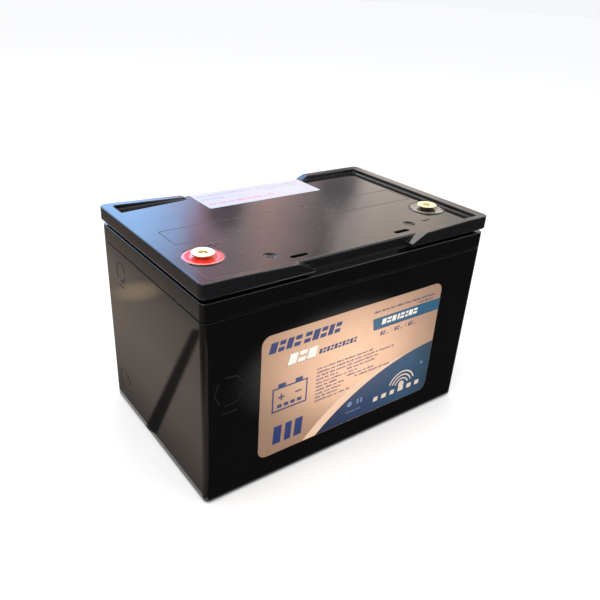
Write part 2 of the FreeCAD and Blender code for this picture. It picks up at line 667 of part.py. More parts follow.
def main():
    os.makedirs("parts", exist_ok=True)
    save("container", container())
    save("cell_cover", cell_cover())
    save("top_cover", top_cover())
    for side, ends in vent_plate_ends().items():
        save("vent_plate_" + side, vent_plate(ends))
    save("recess_plugs", recess_plugs())
    for pole, x in TERMINALS.items():
        save("terminal_" + pole, terminal(x))
        save("terminal_post_" + pole, terminal_post(x))
        save("post_seal_" + pole, post_seal(x))
        save("seal_resin_" + pole, seal_resin(x))
    for cell in CELLS:
        save("valve_cap_%d" % cell, valve_cap(cell))
        save("separators_%d" % cell, separators(cell))
        for pole in TERMINALS:
            save("%s_plates_%d" % (pole, cell), plates(cell, pole))
            save("%s_strap_%d" % (pole, cell), strap(cell, pole))
    save("intercell_welds", intercell_welds())
    save("front_label", front_label())
    save("top_label", top_label())


main()
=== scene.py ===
import math
import random

import bmesh
import bpy
from mathutils import Euler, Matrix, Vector


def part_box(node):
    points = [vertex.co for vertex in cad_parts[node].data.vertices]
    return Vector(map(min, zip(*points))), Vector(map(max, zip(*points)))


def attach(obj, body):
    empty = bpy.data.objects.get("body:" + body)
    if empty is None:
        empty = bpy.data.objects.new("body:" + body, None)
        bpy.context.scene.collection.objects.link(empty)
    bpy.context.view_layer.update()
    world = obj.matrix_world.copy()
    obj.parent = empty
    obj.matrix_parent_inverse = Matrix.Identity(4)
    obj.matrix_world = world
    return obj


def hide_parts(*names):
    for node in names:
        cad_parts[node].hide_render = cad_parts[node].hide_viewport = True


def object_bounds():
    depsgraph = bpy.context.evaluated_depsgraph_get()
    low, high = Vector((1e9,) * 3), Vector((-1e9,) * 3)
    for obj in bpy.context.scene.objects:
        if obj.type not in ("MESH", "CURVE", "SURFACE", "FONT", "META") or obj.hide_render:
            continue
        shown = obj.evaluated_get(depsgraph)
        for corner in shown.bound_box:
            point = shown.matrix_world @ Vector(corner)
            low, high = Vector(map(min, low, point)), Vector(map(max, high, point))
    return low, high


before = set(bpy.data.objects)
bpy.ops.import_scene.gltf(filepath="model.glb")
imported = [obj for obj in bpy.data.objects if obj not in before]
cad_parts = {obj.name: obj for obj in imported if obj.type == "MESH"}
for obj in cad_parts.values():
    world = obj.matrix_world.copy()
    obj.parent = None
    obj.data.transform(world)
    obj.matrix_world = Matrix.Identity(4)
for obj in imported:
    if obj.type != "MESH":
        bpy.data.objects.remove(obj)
CAD_LOW, CAD_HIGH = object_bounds()

MM = 0.001
BODY = "battery"

# Sizes of what is added to the frame, in millimetres
LABEL_THICKNESS = 0.2
INK_THICKNESS = 0.03        # printed layers stand this proud of their label, one above the other
MARK_THICKNESS = 0.18       # moulded marks on the case
MARK_ROOT = 0.1             # they reach this far into the case
MARK_LINE = 1.1
SHOULDER = 156.3            # height at which the container's draft starts
THREAD_PITCH = 1.25         # M8
THREAD_RIDGE = 0.28
THREAD_R = 3.4
THREAD_DEPTH = 11.0
THREAD_START = 1.3          # below the terminal's top
THREAD_STEPS = 28           # sections in a turn
TERMINAL_NECK_R = 5.6
RESIN_CLEARANCE = 0.03
RESIN_DEPTH = 5.0
BEAD_INSET = 1.75           # bead's path inside the container's side
BEAD_DROP = 0.55            # below the cell cover's foot
BEAD_CORNER_R = 3.2
BEAD_STEP = 2.2
BEAD_R = (0.42, 0.14)       # smallest radius, and the most that is added to it


# ---------------------------------------------------------------- materials

class Look:
    """A Principled material with short ways to wire procedural detail into it."""

    def __init__(self, name, color, roughness, **sockets):
        self.material = bpy.data.materials.new(name)
        self.material.use_nodes = True
        self.material.diffuse_color = (*color, 1)
        self.tree = self.material.node_tree
        self.shader = self.tree.nodes["Principled BSDF"]
        self.set("Base Color", (*color, 1))
        self.set("Roughness", roughness)
        for socket, value in sockets.items():
            self.set(socket.replace("_", " "), value)
        self.place = self.tree.nodes.new("ShaderNodeTexCoord").outputs["Object"]

    def set(self, socket, value):
        """A number or colour that is the same all over."""
        self.shader.inputs[socket].default_value = value

    def drive(self, socket, output):
        self.tree.links.new(output, self.shader.inputs[socket])

    def node(self, kind, inputs=(), **settings):
        node = self.tree.nodes.new(kind)
        for key, value in settings.items():
            setattr(node, key, value)
        for key, value in dict(inputs).items():
            if isinstance(value, bpy.types.NodeSocket):
                self.tree.links.new(value, node.inputs[key])
            else:
                node.inputs[key].default_value = value
        return node

    def stretched(self, scale):
        return self.node("ShaderNodeMapping", {"Vector": self.place, "Scale": scale}).outputs[0]

    def noise(self, size_mm, detail=3.0, distortion=0.0, vector=None):
        """Fractal noise with features of about this size."""
        inputs = {"Vector": vector or self.place, "Scale": 1000 / size_mm, "Detail": detail,
                  "Distortion": distortion}
        return self.node("ShaderNodeTexNoise", inputs).outputs["Fac"]

    def specks(self, spacing_mm, radius):
        """Small random dots, 1 inside a dot; radius is a share of the spacing."""
        inputs = {"Vector": self.place, "Scale": 1000 / spacing_mm}
        cells = self.node("ShaderNodeTexVoronoi", inputs)
        return self.step(cells.outputs["Distance"], radius * 1.3, radius * 0.7)

    def step(self, source, low, high):
        """0 at low, 1 at high, and clamped outside; low may be the larger."""
        inputs = {"Value": source, "From Min": low, "From Max": high}
        return self.node("ShaderNodeMapRange", inputs, clamp=True).outputs[0]

    def between(self, source, low, high):
        """Takes 0 to 1 onto low to high."""
        inputs = {"Value": source, "To Min": low, "To Max": high}
        return self.node("ShaderNodeMapRange", inputs).outputs[0]

    def math(self, operation, a, b):
        return self.node("ShaderNodeMath", {0: a, 1: b}, operation=operation).outputs[0]

    def ramp(self, source, stops):
        node = self.node("ShaderNodeValToRGB", {"Fac": source})
        elements = node.color_ramp.elements
        while len(elements) < len(stops):
            elements.new(0.5)
        for element, (position, color) in zip(elements, stops):
            element.position = position
            element.color = (*color, 1)
        return node.outputs["Color"]

    def mix(self, factor, a, b):
        node = self.node("ShaderNodeMix", data_type="RGBA")
        for index, value in ((0, factor), (6, a), (7, b)):
            if isinstance(value, bpy.types.NodeSocket):
                self.tree.links.new(value, node.inputs[index])
            else:
                node.inputs[index].default_value = value if index == 0 else (*value, 1)
        return node.outputs[2]

    def rounded_normal(self, radius_mm):
        """Normal that is blended across sharp edges, as a moulded edge reflects."""
        return self.node("ShaderNodeBevel", {"Radius": radius_mm * MM}, samples=4).outputs[0]

    def worn_edges(self, rounded):
        """1 on sharp edges, 0 on flats, broken up by noise."""
        normal = self.node("ShaderNodeNewGeometry").outputs["Normal"]
        same = self.node("ShaderNodeVectorMath", {0: normal, 1: rounded}, operation="DOT_PRODUCT")
        edge = self.step(same.outputs["Value"], 0.985, 0.90)
        return self.math("MULTIPLY", edge, self.step(self.noise(3, 4), 0.35, 0.7))

    def bump(self, *heights, normal=None):
        """Surface relief from (source, height in mm) pairs."""
        for source, height in heights:
            inputs = {"Height": source, "Distance": height * MM, "Strength": 1.0}
            if normal is not None:
                inputs["Normal"] = normal
            normal = self.node("ShaderNodeBump", inputs).outputs[0]
        self.drive("Normal", normal)

    def upward(self):
        """1 where a surface faces up."""
        normal = self.node("ShaderNodeNewGeometry").outputs["Normal"]
        z = self.node("ShaderNodeSeparateXYZ", {0: normal}).outputs["Z"]
        return self.step(z, 0.8, 0.95)


def moulded_plastic(name, dark, light, gloss, dust=0.0, wave_mm=0.05, edge_mm=0.5, ior=1.5):
    """Glossy black moulded plastic: slight waviness, haze, scuffs, worn edges and dust on top."""
    look = Look(name, dark, gloss, IOR=ior)
    rounded = look.rounded_normal(edge_mm)
    haze = look.noise(34, 4, 0.6)
    scuffs = look.noise(5, 6, vector=look.stretched((1, 1, 0.12)))
    scuffs = look.step(scuffs, 0.68, 0.76)
    wear = look.math("MAXIMUM", look.math("MULTIPLY", scuffs, 0.3), look.worn_edges(rounded))
    color = look.mix(haze, dark, light)
    color = look.mix(look.math("MULTIPLY", wear, 0.4), color, (0.05, 0.05, 0.052))
    rough = look.between(haze, gloss * 0.6, gloss * 1.7)
    rough = look.math("ADD", rough, look.math("MULTIPLY", wear, 0.15))
    if dust:
        patches = look.step(look.noise(26, 3), 0.34, 0.66)
        specks = look.math("MULTIPLY", look.specks(2.1, 0.09), patches)
        specks = look.math("MULTIPLY", specks, look.step(look.noise(4, 2), 0.3, 0.75))
        specks = look.math("MAXIMUM", specks, look.specks(8.0, 0.035))
        film = look.math("MULTIPLY", look.step(look.noise(48, 5, 1.0), 0.45, 0.8), 0.03)
        settled = look.math("MULTIPLY", look.math("MAXIMUM", specks, film), look.upward())
        settled = look.math("MULTIPLY", settled, dust)
        color = look.mix(settled, color, (0.55, 0.57, 0.62))
        rough = look.math("ADD", rough, look.math("MULTIPLY", settled, 0.4))
    look.drive("Base Color", color)
    look.drive("Roughness", rough)
    look.bump((look.noise(70, 1), wave_mm), (look.noise(2.2, 2), 0.0004), normal=rounded)
    return look.material


def resin(name, deep, pale, scatter):
    """Cast resin: glossy and slightly cloudy, with a few trapped bubbles."""
    look = Look(name, deep, 0.07, IOR=1.55)
    look.set("Subsurface Weight", scatter)
    look.set("Subsurface Radius", (1.0, 0.25, 0.2))
    look.set("Subsurface Scale", 1.5 * MM)
    look.set("Coat Weight", 0.6)
    look.set("Coat Roughness", 0.03)
    cloud = look.noise(7, 4, 1.2)
    bubbles = look.specks(2.6, 0.12)
    color = look.mix(look.step(cloud, 0.3, 0.75), deep, pale)
    look.drive("Base Color", look.mix(look.math("MULTIPLY", bubbles, 0.5), color, pale))
    look.drive("Roughness", look.between(cloud, 0.05, 0.14))
    look.bump((cloud, 0.12), (look.noise(22, 1), 0.2))
    return look.material


def turned_metal(name, color, dull, roughness, node):
    """Lathe-turned metal, with fine rings about the upright axis of a CAD node."""
    look = Look(name, color, roughness, Metallic=1.0)
    low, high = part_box(node)
    shift = (-(low.x + high.x) / 2, -(low.y + high.y) / 2, 0)
    offset = look.node("ShaderNodeMapping", {"Vector": look.place, "Location": shift}).outputs[0]
    rings = look.node("ShaderNodeTexWave", {"Vector": offset, "Scale": 700, "Distortion": 1.0,
                                            "Detail": 1.0, "Detail Scale": 1.0},
                      wave_type="RINGS", rings_direction="Z").outputs["Fac"]
    tarnish = look.step(look.noise(5, 5, 0.8), 0.5, 0.85)
    look.drive("Base Color", look.mix(tarnish, color, dull))
    look.drive("Roughness", look.between(look.noise(2.5, 3), roughness * 0.8, roughness * 1.25))
    look.bump((rings, 0.004), (look.noise(6, 3), 0.02))
    return look.material


def grained(name, dark, light, roughness, grain_mm, relief_mm, **sockets):
    """Cast, pasted, woven or rubbery surface with one size of grain."""
    look = Look(name, dark, roughness, **sockets)
    grain = look.noise(grain_mm, 5)
    broad = look.noise(grain_mm * 9, 3)
    look.drive("Base Color", look.mix(look.math("MULTIPLY", grain, broad), dark, light))
    look.drive("Roughness", look.between(grain, roughness * 0.85, min(1.0, roughness * 1.15)))
    look.bump((grain, relief_mm))
    return look.material


def label_film(name, stops, low, high, roughness, metallic=0.0):
    """Printed film whose ground shades along X from one colour to the next; on the front label the ramp's
    lighter middle is a painted sheen highlight.
    """
    look = Look(name, stops[0][1], roughness, Metallic=metallic, IOR=1.5)
    x = look.node("ShaderNodeSeparateXYZ", {0: look.place}).outputs["X"]
    # On the front label this ramp holds a painted sheen highlight as well as the film's own colour.
    ground_and_sheen = look.ramp(look.step(x, low, high), stops)
    mottle = look.noise(14, 4)
    darker = look.node("ShaderNodeHueSaturation", {"Color": ground_and_sheen, "Value": 0.8}).outputs[0]
    look.drive("Base Color", look.mix(look.between(mottle, 0.0, 0.3), ground_and_sheen, darker))
    look.drive("Roughness", look.between(look.noise(9, 3), roughness * 0.85, roughness * 1.2))
    look.bump((look.noise(28, 2), 0.05), (look.noise(1.1, 2), 0.0012))
    return look.material


def ink(name, color, worn, roughness=0.3):
    """Printing ink: even, with slightly thin spots."""
    look = Look(name, color, roughness)
    thin = look.step(look.noise(1.8, 4), 0.55, 0.8)
    look.drive("Base Color", look.mix(look.math("MULTIPLY", thin, 0.5), color, worn))
    look.drive("Roughness", look.between(look.noise(6, 3), roughness * 0.8, roughness * 1.3))
    return look.material


# ---------------------------------------------------------------- mesh helpers

def add_piece(name, mesh_or_bm, material, smooth=True, replaces=()):
    """Links a mesh as a piece that rides on the battery."""
    if isinstance(mesh_or_bm, bmesh.types.BMesh):
        mesh = bpy.data.meshes.new(name)
        bmesh.ops.recalc_face_normals(mesh_or_bm, faces=mesh_or_bm.faces)
        mesh_or_bm.to_mesh(mesh)
        mesh_or_bm.free()
    else:
        mesh = mesh_or_bm
    mesh.materials.append(material)
    piece = bpy.data.objects.new(name, mesh)
    bpy.context.scene.collection.objects.link(piece)
    if smooth:
        mesh.shade_smooth()
        mesh.set_sharp_from_angle(angle=math.radians(35))
    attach(piece, BODY)
    if replaces:
        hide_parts(*replaces)
    return piece


def raise_outline(bm, points, place, low, high):
    """Closed prism over a flat outline. place takes (u, v, height) in mm to a point."""
    bottom = [bm.verts.new(place(u, v, low)) for u, v in points]
    top = [bm.verts.new(place(u, v, high)) for u, v in points]
    bm.faces.new(bottom[::-1])
    bm.faces.new(top)
    for index in range(len(points)):
        after = (index + 1) % len(points)
        bm.faces.new((bottom[index], bottom[after], top[after], top[index]))


def lathe(bm, profile, centre, sides, closed=False):
    """Surface of revolution about an upright axis from (radius, z) in mm."""
    loops = []
    for radius, z in profile:
        loops.append([bm.verts.new((centre[0] + radius * MM * math.cos(2 * math.pi * side / sides),
                                    centre[1] + radius * MM * math.sin(2 * math.pi * side / sides),
                                    z * MM)) for side in range(sides)])
    pairs = list(zip(loops, loops[1:]))
    if closed:
        pairs.append((loops[-1], loops[0]))
    for lower, upper in pairs:
        for side in range(sides):
            after = (side + 1) % sides
            bm.faces.new((lower[side], lower[after], upper[after], upper[side]))


def tube(bm, points, radii, sides, closed):
    """Round tube along a level path of points."""
    rings = []
    count = len(points)
    for index, point in enumerate(points):
        before = points[index - 1] if closed or index else point
        after = points[(index + 1) % count] if closed or index < count - 1 else point
        along = (after - before).normalized()
        across = Vector((0, 0, 1)).cross(along).normalized()
        up = along.cross(across)
        ring = []
        for side in range(sides):
            angle = 2 * math.pi * side / sides
            outward = across * math.cos(angle) + up * math.sin(angle)
            ring.append(bm.verts.new(point + outward * radii[index]))
        rings.append(ring)
    for index in range(count if closed else count - 1):
        a, b = rings[index], rings[(index + 1) % count]
        for side in range(sides):
            after = (side + 1) % sides
            bm.faces.new((a[side], a[after], b[after], b[side]))
    if not closed:
        bm.faces.new(rings[0][::-1])
        bm.faces.new(rings[-1])


# ---------------------------------------------------------------- flat shapes

def slab(u, v, width, height, lean=0.0):
    """Upright block whose top is pushed along by lean times its height."""
    push = lean * height
    return [(u, v), (u + width, v), (u + width + push, v + height), (u + push, v + height)]


def disc(u, v, radius, sides=24):
    angles = [2 * math.pi * k / sides for k in range(sides)]
    return [(u + radius * math.cos(a), v + radius * math.sin(a)) for a in angles]


def arc_band(u, v, inner, outer, start, end, sides=20):
    """Part of a flat ring, between two angles in degrees."""
    angles = [math.radians(start + (end - start) * k / sides) for k in range(sides + 1)]
    out = [(u + outer * math.cos(a), v + outer * math.sin(a)) for a in angles]
    back = [(u + inner * math.cos(a), v + inner * math.sin(a)) for a in reversed(angles)]
    return out + back


def frame_bars(u, v, width, height, line):
    """The four sides of a rectangle as bars."""
    return [slab(u, v, width, line), slab(u, v + height - line, width, line),
            slab(u, v + line, line, height - 2 * line),
            slab(u + width - line, v + line, line, height - 2 * line)]


def bezier(p0, p1, p2, p3, steps):
    points = []
    for k in range(steps + 1):
        t = k / steps
        s = 1 - t
        weights = (s ** 3, 3 * s * s * t, 3 * s * t * t, t ** 3)
        points.append(tuple(sum(w * p[axis] for w, p in zip(weights, (p0, p1, p2, p3)))
                            for axis in (0, 1)))
    return points


def dash_row(rng, u, v, length, height, lean=0.12, gaps=()):
    """A row of small marks in groups, in place of a line of print."""
    shapes = []
    at = u
    while at < u + length:
        for _ in range(rng.randint(3, 9)):
            width = height * rng.choice((0.35, 0.5, 0.62, 0.7))
            tall = height * rng.choice((0.72, 0.72, 1.0))
            if at + width > u + length:
                break
            if not any(low < at < high for low, high in gaps):
                shapes.append(slab(at, v, width, tall, lean))
            at += width + height * 0.22
        at += height * 0.65
    return shapes


def bold_row(u, v, widths, height, gap, lean, notched=True):
    """A row of heavy slanted blocks, each with a notch, in place of a title."""
    shapes = []
    for index, width in enumerate(widths):
        if width < 0:
            u -= width
            continue
        if notched and index % 2:
            cut = height * 0.22
            half = (height - cut) / 2
            shapes.append(slab(u, v, width, half, lean))
            shapes.append(slab(u + lean * (half + cut), v + half + cut, width, half, lean))
        else:
            shapes.append(slab(u, v, width, height, lean))
        u += width + gap
    return shapes


# ---------------------------------------------------------------- label faces

def front_face(lift_mm=0.0):
    """Takes (u, v, height) on the large label, from its lower left corner, to a point."""
    low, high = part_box("front_label")
    depth = high.y - low.y - LABEL_THICKNESS * MM
    slope = depth / (high.z - low.z)

    def place(u, v, height):
        z = low.z + v * MM
        y = high.y - LABEL_THICKNESS * MM - slope * (z - low.z)
        return Vector((low.x + u * MM, y - (height + lift_mm) * MM, z))
    return place


def top_face(u, v, height):
    """The same for the label on the tray floor."""
    low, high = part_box("top_label")
    return Vector((low.x + u * MM, low.y + v * MM, high.z + height * MM))


def print_layer(name, shapes, place, material, layer=0):
    """Flat printed shapes as one piece, a hair above the label or the layer below."""
    bm = bmesh.new()
    low = -INK_THICKNESS * 0.5
    high = INK_THICKNESS * (layer + 1)
    for points in shapes:
        raise_outline(bm, points, place, low, high)
    return add_piece(name, bm, material, smooth=False)


# Large label, in mm from its lower left corner
LABEL_W = 185.0
EDGE = 0.25                 # print stops this far inside the label's edge
WAVE = ((56, 0), (88, 28), (130, 48), (185, 52))
SWEEP = ((43, 0), (72, 30), (110, 47), (150, 47.5))
CORNER_R = 8.0
ROW_LEAD = 3.38
ROW_LENGTHS = (58, 83, 65, 64, 43, 62, 82, 28, 24, 37)

# Widths of the heavy blocks; a negative one is a wider space
TITLE_BLOCKS = (6.2, 5.4, 5.4, 5.8, -1.6, 6.0, 6.0, 5.6, 4.8, 5.4)
SUBTITLE_BLOCKS = (2.6, 2.9, 2.7, 2.9, 3.0, 3.1, 2.8, 3.1, 3.0, 3.0)
BAND_BLOCKS = (4.6, 4.8, 4.2, -0.6, 2.4, 4.2, -0.4, 2.8, 4.4, 4.4)
EMBLEM_BLOCKS = (5, 5.6, 5.2, 6.4, 5.4, 5.2)


def wave_outline():
    """The dark field in the lower right corner, inside the label's round corner."""
    edge = [(u, max(v, EDGE)) for u, v in bezier(*WAVE, 28)]
    edge[-1] = (LABEL_W - EDGE, edge[-1][1])
    corner = []
    for k in range(9):
        angle = -math.pi / 2 * k / 8
        corner.append((LABEL_W - CORNER_R + (CORNER_R - EDGE) * math.cos(angle),
                       CORNER_R + (CORNER_R - EDGE) * math.sin(angle)))
    return edge + corner


def sweep_outline():
    """The pale crescent along the field's edge."""
    upper = [(u, max(v, EDGE)) for u, v in bezier(*SWEEP, 24)]
    lower = [p for p in bezier(*WAVE, 28) if p[0] < upper[-1][0]]
    lower = [(u - 0.3, max(v, EDGE)) for u, v in lower]
    return upper + lower[::-1]


def battery_sign(u, v):
    """Generic outline of a battery with two poles, a plus and a minus."""
    line = 1.3
    shapes = frame_bars(u, v, 33, 22, line)
    for pole in (5, 21):
        shapes.append(slab(u + pole, v + 22, 7, 3.2))
    shapes.append(slab(u + 5.5, v + 12, 6, line))
    shapes.append(slab(u + 7.85, v + 9.65, line, 2.35))
    shapes.append(slab(u + 7.85, v + 12 + line, line, 2.35))
    shapes.append(slab(u + 21.5, v + 12, 6, line))
    for level in range(4):
        shapes.append(slab(u + 5 + level * 6.2, v + 3.2, 4.2, 3))
    return shapes


def small_print(rng):
    """Rows of small marks on the large label, with the dividers in the line below its band."""
    shapes = []
    for row, length in enumerate(ROW_LENGTHS):
        gaps = ((52 + length * 0.35, 52 + length * 0.5),) if row in (3, 5, 6) else ()
        shapes += dash_row(rng, 52.6, 65.2 - ROW_LEAD * row, length, 1.75, gaps=gaps)
    shapes += dash_row(rng, 107.3, 100.0, 70, 1.8)
    shapes += dash_row(rng, 159.0, 96.5, 18, 1.6)
    for u in (117, 133, 149):
        shapes += bold_row(u, 77, (2.2, 2.2), 3.6, 0.7, 0.2)
    shapes += [slab(u, 76.8, 0.4, 4.2) for u in (130, 146)]
    for u in (123.4, 139.4, 155.4):
        shapes += dash_row(rng, u, 77.1, 3.4, 1.1)
    return shapes


def front_label_print():
    rng = random.Random(7)
    place = front_face()
    right = LABEL_W - EDGE
    navy = [*bold_row(6, 94.2, TITLE_BLOCKS, 8.8, 1.7, 0.26),
            *bold_row(53, 79.8, SUBTITLE_BLOCKS, 4.4, 0.95, 0.2),
            *battery_sign(11, 40), *bold_row(13, 9, (7.5, -1.0, 6.2, -0.5, 7.5), 17, 2.6, 0.06)]
    small = small_print(rng)
    band = [(107.8, 94.9), (109.4, 84.7), (right, 84.7), (right, 94.9)]
    shade = [(107.0, 94.5), (108.8, 83.9), (right, 83.9), (right, 94.5)]
    white = bold_row(23.5, 79.2, (7.6, 7.4, 8.2), 9.2, 1.4, 0.25)
    outline = [[(u - 0.45, v - 0.45) for u, v in shape] for shape in white]
    band_marks = bold_row(117, 87.4, BAND_BLOCKS, 5.2, 1.1, 0.14)
    emblem = [arc_band(152, 14.5, radius, radius + 1.3, 20, 160) for radius in (7.5, 11.2, 14.9)]
    emblem += [disc(152, 16.5, 3.4), *bold_row(119, 9.4, EMBLEM_BLOCKS, 4.4, 4.6, 0.1, False)]
    faint = [disc(91.5, 17.6, 2.6), slab(99.5, 15.2, 2, 4.8), slab(103.5, 15.2, 2, 4.8),
             *dash_row(rng, 88, 9, 18, 1.3), disc(174.7, 32.2, 1.5)]
    for name, shapes, look, layer in (
            ("sweep", [sweep_outline()], "sweep", 0), ("field", [wave_outline()], "field", 1),
            ("band_shade", [shade], "navy", 0), ("band", [band], "band", 1),
            ("title", navy, "navy", 0), ("rows", small, "violet", 0),
            ("outline", outline, "brown", 0), ("pale", white + band_marks, "white", 2),
            ("emblem", emblem, "cream", 2), ("faint", faint, "faint", 2)):
        print_layer("label_%s_print" % name, shapes, place, LOOKS[look], layer)


def top_label_print():
    rng = random.Random(11)
    blue = dash_row(rng, 3.0, 30.5, 58, 1.9, 0) + dash_row(rng, 3.2, 21.5, 24, 2.2, 0)
    blue += dash_row(rng, 64, 30.5, 48, 1.6, 0) + dash_row(rng, 70, 24.5, 40, 1.2, 0)
    red = dash_row(rng, 3.4, 8.6, 58, 2.6, 0) + [arc_band(68, 10, 2.2, 2.8, 0, 360, 24)]
    print_layer("top_label_blue_print", blue, top_face, LOOKS["slate"])
    print_layer("top_label_red_print", red, top_face, LOOKS["red"])


# ---------------------------------------------------------------- moulded and cast details

def ring_mark(u, v, size):
    """Generic moulded mark: a hexagon outline in three strokes, with a bar underneath."""
    shapes = []
    for stroke in range(3):
        start = 120 * stroke + 12
        points = []
        for radius in (size, size - MARK_LINE):
            angles = [math.radians(start + turn) for turn in (0, 48, 96)]
            corners = [(u + radius * math.cos(a), v + radius * math.sin(a)) for a in angles]
            points += corners if radius == size else corners[::-1]
        shapes.append(points)
    shapes.append(slab(u - size * 0.5, v - size * 1.45, size, MARK_LINE))
    return shapes


def case_marks():
    """Faint raised marks on the front and on the positive end of the container."""
    low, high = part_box("container")
    label_low, label_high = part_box("front_label")
    front = front_face(-LABEL_THICKNESS)

    def on_front(u, v, height):
        return front(u - label_low.x / MM, v - label_low.z / MM, height)

    draft = (label_high.y - label_low.y - LABEL_THICKNESS * MM) / (label_high.z - label_low.z)

    def on_end(u, v, height):
        x = low.x + draft * (SHOULDER - v) * MM
        return Vector((x - height * MM, -u * MM, v * MM))

    for name, place, marks in (("case_mark_front", on_front, ((-117, 98, 13),)),
                               ("case_mark_end", on_end, ((-62, 27, 12), (-52, 139, 9)))):
        bm = bmesh.new()
        for u, v, size in marks:
            for points in ring_mark(u, v, size):
                raise_outline(bm, points, place, -MARK_ROOT, MARK_THICKNESS)
        add_piece(name, bm, LOOKS["mark"], smooth=False)


def resin_pool(pole):
    """Resin in a terminal well: brim-full, round at its edge, creeping up the terminal's neck."""
    low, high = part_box("seal_resin_" + pole)
    centre = ((low.x + high.x) / 2, (low.y + high.y) / 2)
    wall = (high.x - low.x) / 2 / MM
    crown = high.z / MM
    neck = TERMINAL_NECK_R + RESIN_CLEARANCE
    edge_drop, edge_width, dish, creep = 0.42, 2.2, 0.22, 0.28
    profile = [(neck, crown - RESIN_DEPTH), (wall, crown - RESIN_DEPTH)]
    for step in range(11):
        t = step / 10
        profile.append((wall - edge_width * t, crown - edge_drop * (1 - t) ** 2.4))
    inner = wall - edge_width
    for step in range(1, 13):
        t = step / 12
        level = crown - dish * math.sin(math.pi * min(1.0, t * 1.15)) ** 2
        profile.append((inner + (neck - inner) * t, level + creep * max(0.0, t * 3 - 2) ** 2))
    bm = bmesh.new()
    lathe(bm, profile, centre, 96, closed=True)
    slot = "red_resin" if pole == "positive" else "black_resin"
    add_piece("resin_pool_" + pole, bm, LOOKS[slot], replaces=("seal_resin_" + pole,))


def recess_seals():
    """Glossy, slightly lumpy cups that fill the two moulding recesses."""
    rng = random.Random(5)
    low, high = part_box("recess_plugs")
    radius = (high.y - low.y) / 2 / MM
    middle_y = (low.y + high.y) / 2
    foot = low.z / MM
    axle, steps, lump_height = 0.02, 9, 0.16
    bm = bmesh.new()
    for x in (low.x + radius * MM, high.x - radius * MM):
        profile = [(axle, foot), (radius, foot), (radius, foot + 1.0), (radius - 0.25, foot + 1.3)]
        for step in range(1, steps + 1):
            t = step / steps
            reach = (radius - 0.3) * (1 - t) + axle * t
            profile.append((reach, foot + 0.3 + 1.0 * (1 - t) ** 2.2))
        before = set(bm.verts)
        lathe(bm, profile, (x, middle_y), 40, closed=True)
        turn = [rng.uniform(0, 2 * math.pi) for _ in range(3)]
        for vertex in set(bm.verts) - before:
            if vertex.co.z > (foot + 0.05) * MM:
                angle = math.atan2(vertex.co.y - middle_y, vertex.co.x - x)
                reach = math.hypot(vertex.co.x - x, vertex.co.y - middle_y) / (radius * MM)
                lump = sum(math.sin((k + 2) * angle + turn[k]) / (k + 2) for k in range(3))
                vertex.co.z += lump_height * MM * lump * reach * (1.05 - reach)
    add_piece("recess_seals", bm, LOOKS["plug"], replaces=("recess_plugs",))


def terminal_thread(pole):
    """Helical ridge down the terminal's hole."""
    low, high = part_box("terminal_" + pole)
    centre = Vector(((low.x + high.x) / 2, (low.y + high.y) / 2, 0))
    count = THREAD_DEPTH / THREAD_PITCH * THREAD_STEPS
    wall, root, crest_half = THREAD_R + 0.02, 0.42, 0.08
    rings = []
    bm = bmesh.new()
    for k in range(int(count) + 1):
        angle = 2 * math.pi * k / THREAD_STEPS
        z = high.z / MM - THREAD_START - THREAD_PITCH * k / THREAD_STEPS
        fade = min(1.0, k / THREAD_STEPS, (count - k) / THREAD_STEPS)
        crest = THREAD_R - THREAD_RIDGE * max(fade, 0.02)
        section = ((wall, z + root), (crest, z + crest_half), (crest, z - crest_half), (wall, z - root))
        rings.append([bm.verts.new(centre + Vector((r * math.cos(angle), r * math.sin(angle), h)) * MM)
                      for r, h in section])
    for a, b in zip(rings, rings[1:]):
        for side in range(4):
            after = (side + 1) % 4
            bm.faces.new((a[side], a[after], b[after], b[side]))
    bm.faces.new(rings[0][::-1])
    bm.faces.new(rings[-1])
    add_piece("terminal_thread_" + pole, bm, LOOKS["brass_" + pole])


def weld_bead():
    """Uneven bead of melted plastic in the seam between the container and the cell cover."""
    rng = random.Random(3)
    low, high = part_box("container")
    cover_low, cover_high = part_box("cell_cover")
    z = cover_low.z - BEAD_DROP * MM
    half_x, half_y = high.x - BEAD_INSET * MM, high.y - BEAD_INSET * MM
    radius = BEAD_CORNER_R * MM
    points = []
    for quarter, (sx, sy) in enumerate(((1, 1), (-1, 1), (-1, -1), (1, -1))):
        centre = Vector((sx * (half_x - radius), sy * (half_y - radius), z))
        for k in range(7):
            angle = math.pi / 2 * (quarter + k / 6)
            points.append(centre + Vector((math.cos(angle), math.sin(angle), 0)) * radius)
    fine = []
    for a, b in zip(points, points[1:] + points[:1]):
        count = max(1, int((b - a).length / (BEAD_STEP * MM)))
        fine += [a.lerp(b, k / count) for k in range(count)]
    radii = [(BEAD_R[0] + BEAD_R[1] * rng.random()) * MM for _ in fine]
    bm = bmesh.new()
    tube(bm, fine, radii, 8, closed=True)
    add_piece("weld_bead", bm, LOOKS["bead"])


# ---------------------------------------------------------------- carried-over parts

def dress_frame():
    """Gives every CAD node its material."""
    by_prefix = {
        "container": "case", "cell_cover": "case", "top_cover": "cover",
        "vent_plate": "vent_plate",
        "recess_plugs": "plug", "terminal_positive": "brass_positive",
        "terminal_negative": "brass_negative", "terminal_post": "lead", "post_seal": "rubber",
        "seal_resin_positive": "red_resin", "seal_resin_negative": "black_resin",
        "intercell_welds": "lead", "valve_cap": "rubber", "separators": "mat",
        "positive_plates": "positive_paste", "negative_plates": "negative_paste",
        "positive_strap": "lead", "negative_strap": "lead", "front_label": "film",
        "top_label": "paper",
    }
    for name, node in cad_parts.items():
        prefix = max((p for p in by_prefix if name.startswith(p)), key=len)
        node.data.materials.clear()
        node.data.materials.append(LOOKS[by_prefix[prefix]])


# ---------------------------------------------------------------- stage, in metres

